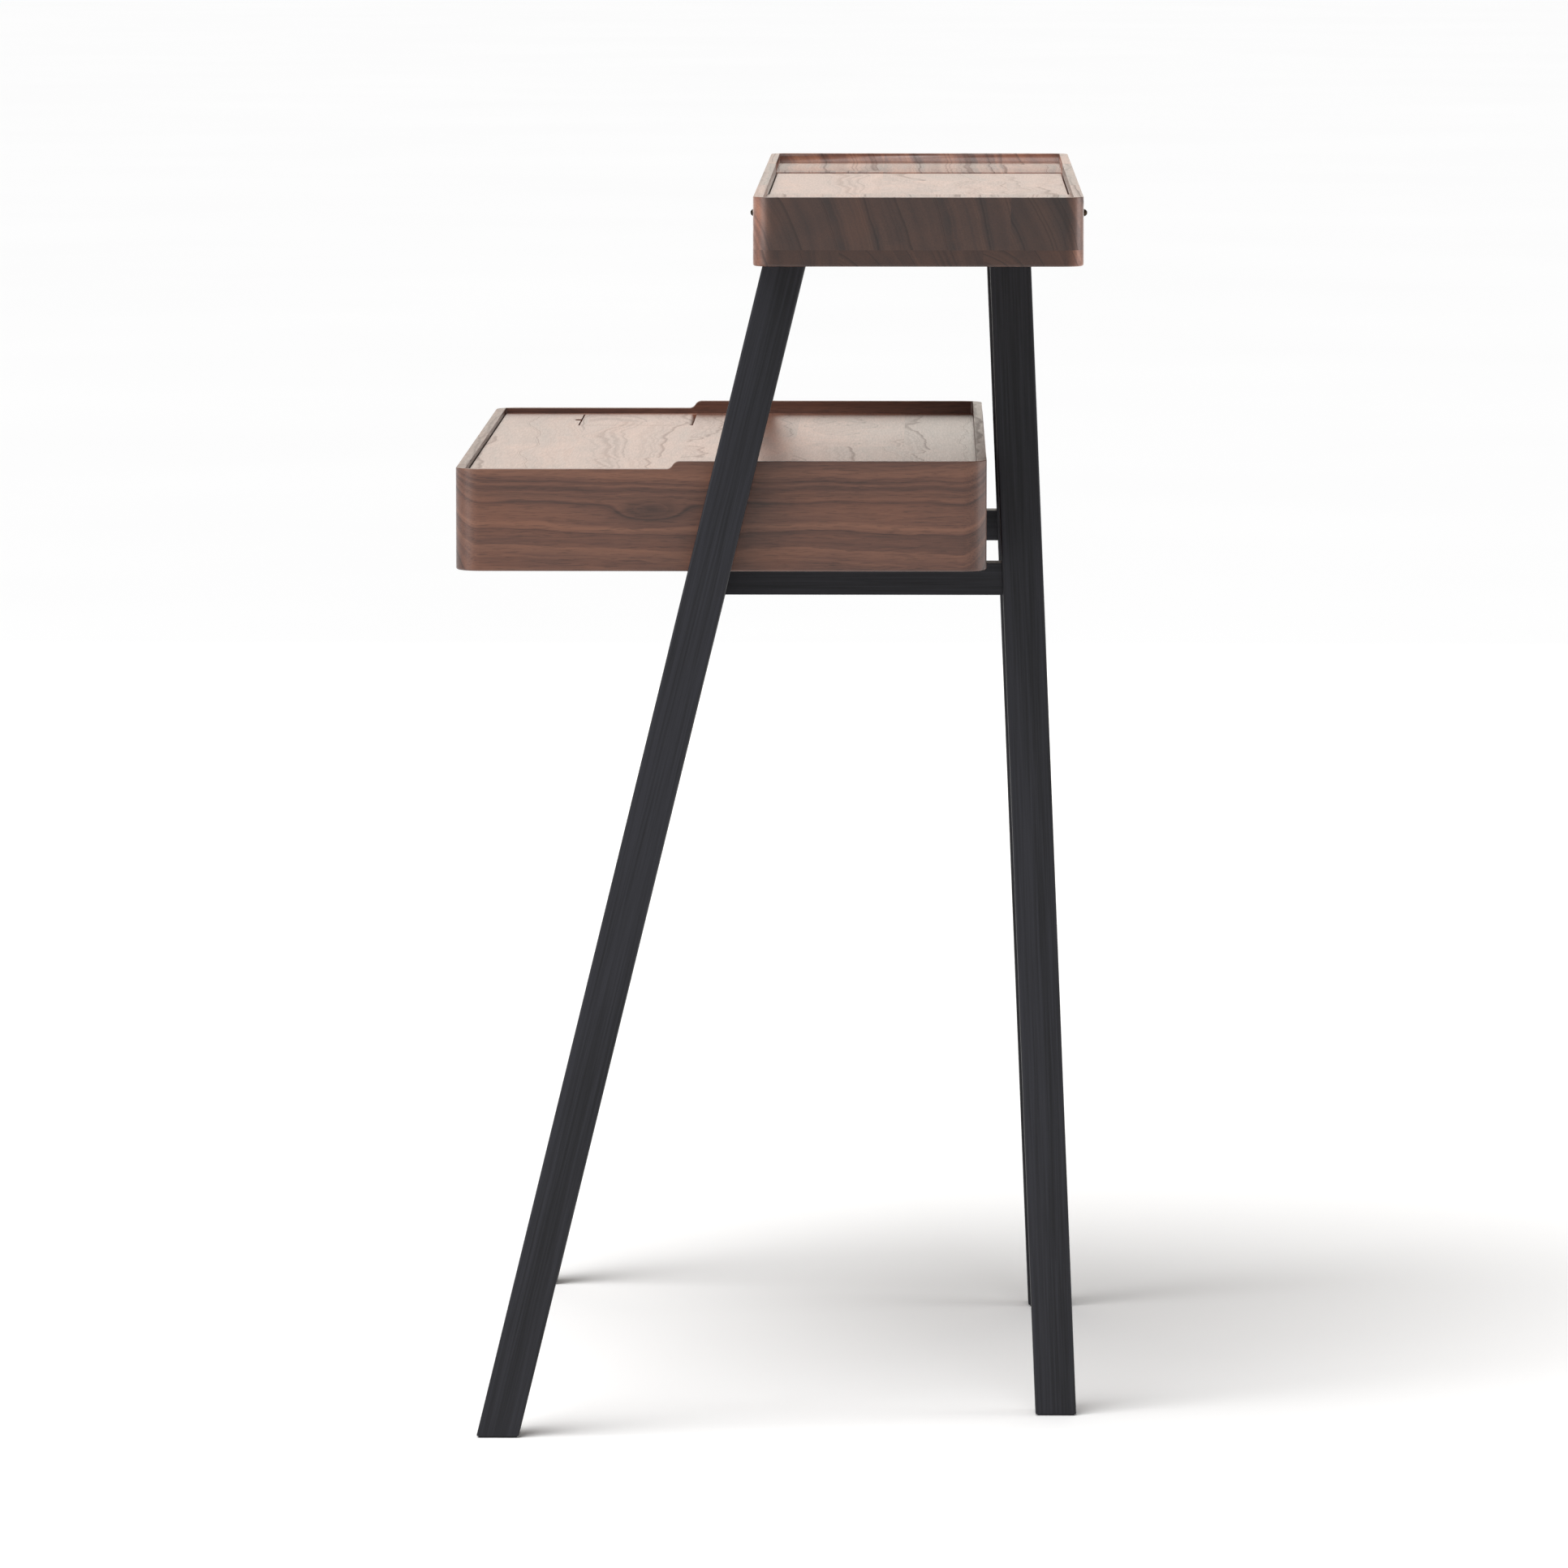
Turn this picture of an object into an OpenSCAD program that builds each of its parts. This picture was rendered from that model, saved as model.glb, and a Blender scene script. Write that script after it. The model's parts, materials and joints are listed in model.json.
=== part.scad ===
// Writing desk on two levels: a low box with a drawer to write on, and a narrow
// box above it, both carried by four slender stained legs.
// X runs across the desk (+X at the sitter's right), -Y faces the sitter, and
// Z = 0 is the floor. All sizes are in millimetres.

/* [Lower box] */
// Height of the writing surface above the floor
writing_height = 746.7; // [700:0.1:790]
// Width of the lower box across the desk
desk_w = 736; // [640:1:800]
// Depth of the lower box from front to back
desk_d = 410; // [395:1:415]
// Height from the bottom of the lower box to its front rim
desk_h = 79; // [74:0.5:100]
// Height of the front rim above the writing surface
low_rim = 4.3; // [3:0.1:8]
// Height of the back rim above the writing surface
high_rim = 10.3; // [9:0.1:14]
// Radius of the upright corners of the lower box
desk_corner = 20; // [18:0.5:24]
// Thickness of the walls of the lower box
desk_wall = 20; // [18:0.5:22]
// Thickness of the rim that shows above each top
rim_t = 7.5; // [6:0.5:9]
// Thickness of the writing board
writing_t = 18; // [16:0.5:20]

/* [Upper box] */
// Width of the upper box across the desk
shelf_w = 882; // [840:1:960]
// Depth of the upper box from front to back
shelf_d = 252; // [240:1:270]
// Height of the rim of the upper box above the floor
shelf_top = 963.3; // [920:0.1:1000]
// Height of the upper box from its underside to its rim
shelf_h = 52.7; // [50:0.1:60]
// Radius of the upright corners of the upper box
shelf_corner = 16; // [14:0.5:18]
// Thickness of the board under the upper box
shelf_board_t = 12.5; // [10:0.5:14]
// Depth of the recess inside the rim of the upper box
shelf_recess = 7.3; // [6:0.1:9]
// Width of the pair of drawers in the upper box
shelf_drawer_w = 428; // [380:1:460]

/* [Legs] */
// Width of a leg, seen from the side
leg_w = 32; // [28:0.5:36]
// Thickness of a front leg across the desk
front_leg_t = 29; // [26:0.5:32]
// Lean of the front legs, in degrees from upright
front_lean = 13.75; // [10:0.05:16]
// Lean of the back legs, in degrees from upright
rear_lean = 2.4; // [1:0.05:4]
// Distance between the outer faces of the back legs
rear_leg_span = 576; // [520:1:620]
// Height of the rails under the lower box
rail_h = 25; // [20:1:30]
// Thickness of the rails
rail_t = 24; // [20:1:28]

/* [Pen well] */
// Width of the lid over the pen well, across the desk
lid_w = 135; // [110:1:170]
// Depth of the lid over the pen well, from front to back
lid_d = 94; // [80:1:100]
// Thickness of the lid
lid_t = 8; // [7:0.5:9]
// Gap around the lid
lid_gap = 1.2; // [0.8:0.1:1.5]

/* [Knobs] */
// Diameter of the head of a drawer knob
knob_d = 5.8; // [5:0.1:9]
// How far a knob stands out from its drawer
knob_out = 9.8; // [9:0.1:12]

/* [Hidden] */

$fn = 64;
walnut = "#6d4a3c";
walnut_light = "#8a6552";
maple = "#c9ae8c";
black_stain = "#25262a";
brass = "#a98a52";
steel = "#9a9da1";
felt = "#232325";
// Cutting tools reach this far past the wood they cut
past = 1;

// Levels of the lower box
desk_z0 = writing_height + low_rim - desk_h;
low_z = writing_height + low_rim;
high_z = writing_height + high_rim;
board_z = writing_height - writing_t;
floor_t = 8;
// The whole desk is centred from front to back between the lower box's front
// and the end of the back knob
total_d = 492.8;
desk_y0 = -total_d / 2;
desk_y1 = desk_y0 + desk_d;
shelf_y1 = total_d / 2 - knob_out;
shelf_y0 = shelf_y1 - shelf_d;

// Where the side rim climbs from its low part to its high part, on two equal arcs
step_y = desk_y0 + 168;
step_r = high_rim - low_rim;
step_half = step_r * cos(30);

// Levels of the upper box
shelf_z0 = shelf_top - shelf_h;
shelf_floor_z = shelf_z0 + shelf_board_t;
shelf_face_z = shelf_top - shelf_recess;
// The central panel lies a little lower than the tops of the solid ends
panel_z = shelf_face_z - 0.8;
panel_t = 7.2;
panel_gap = 1.2;
panel_in = 0.4;
shelf_front_t = 18;
guide_w = 17;
seam = 0.6;

// Corner posts of the lower box and the drawer front between them
return_w = 44;
drawer_seam = 1;
rebate_gap = 0.5;
desk_front_w = desk_w - 2 * return_w - 2 * drawer_seam;
floor_lap = 8;
floor_gap = 0.6;
// Radius of the inside corners of the lower rim
rim_corner = 2;

// Runners and box of the lower drawer
runner_h = 3;
runner_w = 14;
guide_gap = 0.8;
slide_gap = 0.3;
box_z0 = desk_z0 + floor_t + runner_h + slide_gap;
box_h = 33;
box_side_t = 10;
box_side_gap = 3;
box_w = desk_front_w - 2 * box_side_gap;
guide_h = 18;
box_y0 = desk_y0 + desk_wall;
box_back_gap = 5;
box_y1 = desk_y1 - desk_wall - box_back_gap;
box_side_x = box_w / 2 - box_side_t / 2;
box_dowel_r = 3;
box_dowel_l = 24;
// Heights of the dowels in a drawer side, in dowel radii above its lower edge
dowel_places = [5, 8.5];
box_floor_t = 5;
box_floor_up = 3;
stop_y = desk_y0 + 97;
stop_bite = 5;
stop_t = 12;
stop_w = 60;
// Finger pull under the drawer front
pull_w = 120;
pull_r = 7;
pull_d = 16;

// Boxes of the two upper drawers, which stand back to back
small_side_t = 7;
small_floor_t = 4;
small_z0 = shelf_floor_z + slide_gap;
small_h = 23.6;
small_w = shelf_drawer_w - 2 * guide_w - 2;
divider_t = 8;
shelf_mid_y = (shelf_y0 + shelf_y1) / 2;
small_d = shelf_d / 2 - shelf_front_t - divider_t / 2 - 2;
small_y0 = shelf_y0 + shelf_front_t;
small_y1 = small_y0 + small_d;
small_dowel_r = 2;
small_dowel_l = 18;
small_floor_up = 2;
small_stop_h = 4;
small_stop_t = 8;
small_stop_w = 80;
small_stop_in = 18;
small_stop_y = shelf_d / 2 - shelf_front_t - small_stop_in;

// Knobs, a little below the middle of their fronts
knob_z = shelf_top - 31;
neck_r = 1.6;
collar_r = 2.3;
collar_t = 1.2;
shank_l = 12;

// Lid over the pen well, at the sitter's left
lid_x0 = -desk_w / 2 + 27;
lid_y1 = step_y + 1.6;
lid_y0 = lid_y1 - lid_d;
hinge_z = writing_height - lid_t / 2;
hinge_y = lid_y1 - lid_gap - lid_t / 2;
pin_r = 1.5;
pin_len = 12;
pin_fit = 0.05;
lid_pin_xs = [lid_x0, lid_x0 + lid_w];
well_wall = 4;
well_floor_t = 4;
well_depth = 17;
well_z = writing_height - lid_t - slide_gap;
notch_w = 15;
notch_d = 6;
notch_h = 12;

// Legs and rails
glide_t = 1.2;
glide_in = 1.5;
front_foot_y = desk_y0 + 15.2;
rear_foot_y = desk_y1 + 40.4;
front_leg_x = desk_w / 2;
rear_leg_x = rear_leg_span / 2 - leg_w;
rail_z = desk_z0 - rail_h;
tenon_l = 14;
tenon_t = 10;
tenon_h = 15;
rail_inset = 4;
side_rail_x = rear_leg_span / 2 - rail_inset - rail_t;
dowel_r = 5;
dowel_l = 48;
bolt_r = 3;
bolt_head_r = 6;
bolt_head_h = 6;
bolt_bite = 22;
screw_r = 2;
screw_head_r = 4;
screw_head_h = 3;
rail_screw_l = rail_h + floor_t - 2;
rail_screw_xs = [-front_leg_x + 60, 0, front_leg_x - 60];
rail_screw_y = desk_y1 - 50;
rail_mid_z = rail_z + rail_h / 2;
bolt_zs = [desk_z0 + 20, desk_z0 + 46];

// Front edge of a leg at a height. A front leg leans back as it rises and a back
// leg leans forward, and both are cut level, so their cuts are longer than leg_w.
function front_leg_y(z) = front_foot_y + z * tan(front_lean);
function rear_leg_y(z) = rear_foot_y - z * tan(rear_lean);
front_cut = leg_w / cos(front_lean);
rear_cut = leg_w / cos(rear_lean);
front_rail_y = front_leg_y(rail_mid_z) + front_cut / 2;
rear_rail_y = rear_leg_y(rail_mid_z) + rear_cut / 2;
side_tenon_y = rear_rail_y - tenon_t / 2 - 1;

// Flat outline with round corners
module rounded_outline(w, d, r) {
    for (x = [r, w - r], y = [r, d - r]) translate([x, y]) circle(r = r);
    translate([r, 0]) square([w - 2 * r, d]);
    translate([0, r]) square([w, d - 2 * r]);
}

// Block between two corners
module block(low, high) {
    translate(low) cube(high - low);
}

// Leaning bar from the glides up to the upper box, cut level at both ends
module leaning_bar(x, thick, foot_y, top_y, cut) {
    translate([x, 0, 0]) rotate([90, 0, 90]) linear_extrude(thick)
        polygon([[foot_y, glide_t], [foot_y + cut, glide_t], [top_y + cut, shelf_z0], [top_y, shelf_z0]]);
}

// ---- Legs and rails ----

// Tenons along X and along Y, thinner and lower than their rails
module tenon_x(x0, x1, y) {
    block([x0, y - tenon_t / 2, rail_mid_z - tenon_h / 2],
          [x1, y + tenon_t / 2, rail_mid_z + tenon_h / 2]);
}

module tenon_y(x, y0, y1) {
    block([x - tenon_t / 2, y0, rail_mid_z - tenon_h / 2],
          [x + tenon_t / 2, y1, rail_mid_z + tenon_h / 2]);
}

// Upright dowels from the tops of the legs into the upper box
module shelf_dowel(x, y) {
    translate([x, y, shelf_z0 - dowel_l / 2]) cylinder(r = dowel_r, h = dowel_l);
}

module leg_dowels() {
    shelf_dowel(front_leg_x + front_leg_t / 2, front_leg_y(shelf_z0) + front_cut / 2);
    shelf_dowel(rear_leg_x + leg_w / 2, rear_leg_y(shelf_z0) + rear_cut / 2);
}

// Shank and head of one bolt that runs from inside the box into a front leg
module leg_bolt(z) {
    translate([desk_w / 2 - desk_wall, front_leg_y(z) + front_cut / 2, z]) rotate([0, 90, 0]) {
        cylinder(r = bolt_r, h = desk_wall + bolt_bite);
        cylinder(r = bolt_head_r, h = bolt_head_h);
    }
}

module front_leg() {
    difference() {
        leaning_bar(front_leg_x, front_leg_t, front_leg_y(glide_t), front_leg_y(shelf_z0), front_cut);
        tenon_x(front_leg_x - past, front_leg_x + tenon_l, front_rail_y);
        leg_dowels();
        for (z = bolt_zs) leg_bolt(z);
    }
}

module rear_leg() {
    difference() {
        leaning_bar(rear_leg_x, leg_w, rear_leg_y(glide_t), rear_leg_y(shelf_z0), rear_cut);
        tenon_x(rear_leg_x - past, rear_leg_x + tenon_l, rear_rail_y);
        tenon_y(side_rail_x + rail_t / 2, rear_rail_y - leg_w, side_tenon_y);
        leg_dowels();
    }
}

module front_leg_right() color(black_stain) front_leg();
module front_leg_left() color(black_stain) mirror([1, 0, 0]) front_leg();
module rear_leg_right() color(black_stain) rear_leg();
module rear_leg_left() color(black_stain) mirror([1, 0, 0]) rear_leg();

// Screws that hold the lower box down on its rails
module rail_screw(x, y) {
    translate([x, y, rail_z]) {
        cylinder(r = screw_r, h = rail_screw_l);
        cylinder(r = screw_head_r, h = screw_head_h);
    }
}

module rail_screws_all() {
    for (x = rail_screw_xs) rail_screw(x, front_rail_y);
    for (x = [-1, 1]) rail_screw(x * (side_rail_x + rail_t / 2), rail_screw_y);
}

module front_cross_rail() color(black_stain) difference() {
    union() {
        block([-front_leg_x, front_rail_y - rail_t / 2, rail_z],
              [front_leg_x, front_rail_y + rail_t / 2, desk_z0]);
        tenon_x(-front_leg_x - tenon_l, front_leg_x + tenon_l, front_rail_y);
    }
    for (s = [-1, 1])
        tenon_y(s * (side_rail_x + rail_t / 2), front_rail_y, front_rail_y + rail_t);
    rail_screws_all();
}

module rear_cross_rail() color(black_stain) union() {
    block([-rear_leg_x, rear_rail_y - rail_t / 2, rail_z],
          [rear_leg_x, rear_rail_y + rail_t / 2, desk_z0]);
    tenon_x(-rear_leg_x - tenon_l, rear_leg_x + tenon_l, rear_rail_y);
}

// The back end of a side rail is cut to the lean of the back leg that it meets
module side_rail() {
    y0 = front_rail_y + rail_t / 2;
    difference() {
        union() {
            translate([side_rail_x, 0, 0]) rotate([90, 0, 90]) linear_extrude(rail_t)
                polygon([[y0, rail_z], [rear_leg_y(rail_z), rail_z],
                         [rear_leg_y(desk_z0), desk_z0], [y0, desk_z0]]);
            tenon_y(side_rail_x + rail_t / 2, front_rail_y, side_tenon_y);
        }
        rail_screws_all();
    }
}

module side_rail_right() color(black_stain) side_rail();
module side_rail_left() color(black_stain) mirror([1, 0, 0]) side_rail();

// Thin pads under the feet, a little smaller than the feet
module foot_pad(x, thick, y, cut) {
    block([x + glide_in, y + glide_in, 0], [x + thick - glide_in, y + cut - glide_in, glide_t]);
}

module foot_glides() color(felt) for (s = [0, 1]) mirror([s, 0, 0]) {
    foot_pad(front_leg_x, front_leg_t, front_leg_y(glide_t), front_cut);
    foot_pad(rear_leg_x, leg_w, rear_leg_y(glide_t), rear_cut);
}

module shelf_dowels() color(maple) for (s = [0, 1]) mirror([s, 0, 0]) leg_dowels();

module leg_bolts() color(steel) for (s = [0, 1], z = bolt_zs) mirror([s, 0, 0]) leg_bolt(z);

module rail_screws() color(steel) rail_screws_all();

// ---- Lower box ----

// Outline of a side seen along X: a low rim in front and a high rim behind,
// joined by two arcs. The shapes overlap, so that they join into one.
module side_profile() {
    translate([desk_y0, desk_z0]) square([desk_d, low_z - desk_z0]);
    translate([step_y + step_half, desk_z0]) square([desk_y1 - step_y - step_half, high_z - desk_z0]);
    intersection() {
        translate([step_y + step_half, low_z]) circle(r = step_r);
        translate([step_y, low_z - past]) square([step_half + past, step_r + past]);
    }
    difference() {
        translate([step_y - step_half, low_z - past])
            square([step_half + past, step_r / 2 + past]);
        translate([step_y - step_half, high_z]) circle(r = step_r);
    }
}

// The whole wall of the lower box as one ring, before it is divided into boards
module desk_ring() {
    difference() {
        intersection() {
            translate([-desk_w / 2, desk_y0, desk_z0])
                linear_extrude(high_z - desk_z0) rounded_outline(desk_w, desk_d, desk_corner);
            translate([-desk_w / 2 - past, 0, 0]) rotate([90, 0, 90])
                linear_extrude(desk_w + 2 * past) side_profile();
        }
        block([-desk_w / 2 + desk_wall, desk_y0 + desk_wall, desk_z0 - past],
              [desk_w / 2 - desk_wall, desk_y1 - desk_wall, board_z + past]);
        inside_rim(desk_y0 + rim_t, board_z, high_z + past);
        translate([0, 0, -past]) desk_floor(floor_t + past);
    }
}

// Plan of the space inside the rim of the lower box, from a front edge back
module inside_rim(front_y, z0, z1) {
    translate([-desk_w / 2 + rim_t, front_y, z0]) linear_extrude(z1 - z0)
        rounded_outline(desk_w - 2 * rim_t, desk_y1 - rim_t - front_y, rim_corner);
}

// Plan of the board under the lower box, let into the walls
module desk_floor(t) {
    block([-desk_w / 2 + desk_wall - floor_lap, desk_y0 + desk_wall + floor_gap, desk_z0],
          [desk_w / 2 - desk_wall + floor_lap, desk_y1 - desk_wall + floor_lap, desk_z0 + t]);
}

module desk_side() {
    difference() {
        desk_ring();
        block([-desk_w, desk_y0 - past, 0], [desk_w / 2 - return_w, desk_y1 + past, high_z + past]);
        for (z = bolt_zs) leg_bolt(z);
    }
}

module desk_side_right() color(walnut) desk_side();
module desk_side_left() color(walnut) mirror([1, 0, 0]) desk_side();

module desk_back_board() color(walnut) intersection() {
    desk_ring();
    block([-desk_w / 2 + return_w, 0, 0], [desk_w / 2 - return_w, desk_y1 + past, high_z + past]);
}

module desk_bottom_board() color(walnut_light) difference() {
    desk_floor(floor_t);
    rail_screws_all();
    block([-pull_w / 2, desk_y0, desk_z0 - past], [pull_w / 2, box_y0 + pull_d, desk_z0 + floor_t + past]);
}

// Space that the lid and the pen well take out of the writing board
module lid_opening(z0) {
    block([lid_x0 - lid_gap, lid_y0 - lid_gap, z0],
          [lid_x0 + lid_w + lid_gap, lid_y1, writing_height + past]);
}

// Finger notch at the front edge of the lid
module finger_notch() {
    mid = lid_x0 + lid_w / 2;
    translate([mid - notch_w / 2, lid_y0 - notch_d, writing_height - notch_h])
        linear_extrude(notch_h + past) rounded_outline(notch_w, 2 * notch_d, notch_d / 2);
}

module lid_pin(x, r, l) {
    translate([x - l / 2, hinge_y, hinge_z]) rotate([0, 90, 0]) cylinder(r = r, h = l);
}

module writing_board() color(walnut_light) difference() {
    inside_rim(desk_y0 + rim_t + drawer_seam, board_z, writing_height);
    lid_opening(board_z - past);
    finger_notch();
    for (x = lid_pin_xs) lid_pin(x, pin_r + pin_fit, pin_len);
}

// Walls of the pen well, glued inside the opening just below the lid
module pen_well_frame() color(walnut_light) difference() {
    block([lid_x0 - lid_gap, lid_y0 - lid_gap, well_z - well_depth],
          [lid_x0 + lid_w + lid_gap, lid_y1, well_z]);
    block([lid_x0 - lid_gap + well_wall, lid_y0 - lid_gap + well_wall, well_z - well_depth - past],
          [lid_x0 + lid_w + lid_gap - well_wall, lid_y1 - well_wall, well_z + past]);
    finger_notch();
}

module pen_well_floor() color(walnut_light)
    block([lid_x0 - lid_gap, lid_y0 - lid_gap, well_z - well_depth - well_floor_t],
          [lid_x0 + lid_w + lid_gap, lid_y1, well_z - well_depth]);

// Lid with a half-round back edge that turns about its pins
module pen_lid() color(walnut_light) difference() {
    union() {
        block([lid_x0, lid_y0, writing_height - lid_t], [lid_x0 + lid_w, hinge_y, writing_height]);
        translate([lid_x0, hinge_y, hinge_z]) rotate([0, 90, 0]) cylinder(r = lid_t / 2, h = lid_w);
    }
    for (x = lid_pin_xs) lid_pin(x, pin_r, pin_len);
}

module pen_lid_pins() color(brass) for (x = lid_pin_xs) lid_pin(x, pin_r, pin_len - 1);

// L-shaped strips that carry the drawer and guide it from the sides
module desk_runner() {
    y0 = box_y0 + 2;
    y1 = desk_y1 - desk_wall;
    z0 = desk_z0 + floor_t;
    block([box_w / 2 - runner_w, y0, z0], [desk_w / 2 - desk_wall, y1, z0 + runner_h]);
    block([box_w / 2 + guide_gap, y0, z0], [desk_w / 2 - desk_wall, y1, z0 + guide_h]);
}

module desk_runner_right() color(maple) desk_runner();
module desk_runner_left() color(maple) mirror([1, 0, 0]) desk_runner();

// Block under the writing board that the drawer's back meets when it is pulled out
module desk_drawer_stop() color(maple)
    block([-stop_w / 2, stop_y, box_z0 + box_h - stop_bite], [stop_w / 2, stop_y + stop_t, board_z]);

// ---- Drawer of the lower box ----

module desk_drawer_front() color(walnut) difference() {
    block([-desk_front_w / 2, desk_y0, desk_z0], [desk_front_w / 2, box_y0, low_z]);
    block([-desk_w / 2, desk_y0 + rim_t, board_z - rebate_gap], [desk_w / 2, box_y0 + past, high_z]);
    finger_pull();
    drawer_dowels(box_side_x, box_y0, box_z0, box_dowel_r, box_dowel_l);
}

// Dowels that join the two sides of a drawer to its front, two to a side
module drawer_dowels(x, y, z, r, l) {
    for (s = [-1, 1], up = dowel_places)
        translate([s * x, y - l / 2, z + up * r]) rotate([-90, 0, 0]) cylinder(r = r, h = l);
}

// Groove behind the lower edge of the drawer front, for the fingertips
module finger_pull() {
    translate([-pull_w / 2, box_y0, desk_z0]) rotate([0, 90, 0]) cylinder(r = pull_r, h = pull_w);
}

module desk_drawer_side() {
    difference() {
        block([box_w / 2 - box_side_t, box_y0, box_z0], [box_w / 2, box_y1, box_z0 + box_h]);
        drawer_floor();
        drawer_dowels(box_side_x, box_y0, box_z0, box_dowel_r, box_dowel_l);
    }
}

module drawer_floor() {
    block([-box_w / 2 + box_side_t / 2, box_y0, box_z0 + box_floor_up],
          [box_w / 2 - box_side_t / 2, box_y1 - box_side_t / 2, box_z0 + box_floor_up + box_floor_t]);
}

module desk_drawer_side_right() color(maple) desk_drawer_side();
module desk_drawer_side_left() color(maple) mirror([1, 0, 0]) desk_drawer_side();
module desk_drawer_bottom() color(maple) drawer_floor();

module desk_drawer_back() color(maple) difference() {
    block([-box_w / 2 + box_side_t, box_y1 - box_side_t, box_z0],
          [box_w / 2 - box_side_t, box_y1, box_z0 + box_h]);
    drawer_floor();
}

module desk_drawer_dowels() color(maple)
    drawer_dowels(box_side_x, box_y0, box_z0, box_dowel_r, box_dowel_l);

// ---- Upper box ----

module shelf_plan(z0, z1) {
    translate([-shelf_w / 2, shelf_y0, z0])
        linear_extrude(z1 - z0) rounded_outline(shelf_w, shelf_d, shelf_corner);
}

// Board under the whole upper box, set back behind the drawer fronts
module shelf_base_board() color(walnut) difference() {
    shelf_plan(shelf_z0, shelf_floor_z);
    for (y = [shelf_y0 - past, shelf_y1 - shelf_front_t - seam / 2])
        translate([-shelf_drawer_w / 2 - seam, y, shelf_z0 - past])
            cube([shelf_drawer_w + 2 * seam, shelf_front_t + seam / 2 + past, shelf_board_t + 2 * past]);
    for (s = [0, 1]) mirror([s, 0, 0]) leg_dowels();
}

// Solid end of the upper box, with a shallow recess inside its rim
module shelf_end() {
    difference() {
        intersection() {
            shelf_plan(shelf_floor_z, shelf_top);
            block([shelf_drawer_w / 2 + seam, shelf_y0 - past, 0],
                  [shelf_w, shelf_y1 + past, shelf_top + past]);
        }
        block([0, shelf_y0 + rim_t, shelf_face_z],
              [shelf_w / 2 - rim_t, shelf_y1 - rim_t, shelf_top + past]);
        leg_dowels();
    }
}

module shelf_end_right() color(walnut) shelf_end();
module shelf_end_left() color(walnut) mirror([1, 0, 0]) shelf_end();

module shelf_center_panel() color(walnut_light)
    block([-shelf_drawer_w / 2 + panel_in, shelf_y0 + rim_t + panel_gap, panel_z - panel_t],
          [shelf_drawer_w / 2 - panel_in, shelf_y1 - rim_t - panel_gap, panel_z]);

// Strips beside the drawers that guide them and carry the panel
module shelf_guide() {
    block([shelf_drawer_w / 2 + seam - guide_w, shelf_y0 + shelf_front_t + seam, shelf_floor_z],
          [shelf_drawer_w / 2 + seam, shelf_y1 - shelf_front_t - seam, panel_z - panel_t]);
}

module shelf_guide_right() color(maple) shelf_guide();
module shelf_guide_left() color(maple) mirror([1, 0, 0]) shelf_guide();

module shelf_divider() color(maple)
    block([-shelf_drawer_w / 2 - seam + guide_w, shelf_mid_y - divider_t / 2, shelf_floor_z],
          [shelf_drawer_w / 2 + seam - guide_w, shelf_mid_y + divider_t / 2, panel_z - panel_t]);

// Strips under the panel that keep each drawer from being pulled right out
module shelf_drawer_stops() color(maple) for (s = [-1, 1])
    translate([-small_stop_w / 2, shelf_mid_y + s * small_stop_y - small_stop_t / 2,
               panel_z - panel_t - small_stop_h])
        cube([small_stop_w, small_stop_t, small_stop_h]);

// ---- Drawers of the upper box ----
// They stand back to back: the far one is the near one turned round

module turned() {
    translate([0, 2 * shelf_mid_y, 0]) rotate([0, 0, 180]) children();
}

module small_drawer_floor() {
    x1 = small_w / 2 - small_side_t / 2;
    z0 = small_z0 + small_floor_up;
    block([-x1, small_y0, z0], [x1, small_y1 - small_side_t / 2, z0 + small_floor_t]);
}

module small_drawer_front() {
    difference() {
        block([-shelf_drawer_w / 2 + panel_in, shelf_y0, shelf_z0 + slide_gap],
              [shelf_drawer_w / 2 - panel_in, small_y0, shelf_top]);
        block([-shelf_drawer_w, shelf_y0 + rim_t, panel_z - panel_t - seam],
              [shelf_drawer_w, shelf_y1, shelf_top + past]);
        small_dowels();
        knob();
    }
}

module small_drawer_side() {
    difference() {
        block([small_w / 2 - small_side_t, small_y0, small_z0], [small_w / 2, small_y1, small_z0 + small_h]);
        small_drawer_floor();
        small_dowels();
    }
}

module small_drawer_back() {
    difference() {
        block([-small_w / 2 + small_side_t, small_y1 - small_side_t, small_z0],
              [small_w / 2 - small_side_t, small_y1, small_z0 + small_h]);
        small_drawer_floor();
    }
}

module small_dowels() {
    drawer_dowels(small_w / 2 - small_side_t / 2, small_y0, small_z0, small_dowel_r, small_dowel_l);
}

// Round-headed knob on a slim neck, with a shank set into the drawer front
module knob() {
    ball_r = knob_d / 2;
    translate([0, shelf_y0, knob_z]) rotate([90, 0, 0]) {
        translate([0, 0, -shank_l]) cylinder(r = neck_r, h = knob_out + shank_l - ball_r);
        cylinder(r = collar_r, h = collar_t);
        translate([0, 0, knob_out - ball_r]) sphere(r = ball_r);
    }
}

module near_drawer_front() color(walnut) small_drawer_front();
module near_drawer_side_right() color(maple) small_drawer_side();
module near_drawer_side_left() color(maple) mirror([1, 0, 0]) small_drawer_side();
module near_drawer_back() color(maple) small_drawer_back();
module near_drawer_bottom() color(maple) small_drawer_floor();
module near_drawer_dowels() color(maple) small_dowels();
module near_knob() color(brass) knob();

module far_drawer_front() color(walnut) turned() small_drawer_front();
module far_drawer_side_right() color(maple) turned() mirror([1, 0, 0]) small_drawer_side();
module far_drawer_side_left() color(maple) turned() small_drawer_side();
module far_drawer_back() color(maple) turned() small_drawer_back();
module far_drawer_bottom() color(maple) turned() small_drawer_floor();
module far_drawer_dowels() color(maple) turned() small_dowels();
module far_knob() color(brass) turned() knob();

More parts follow.
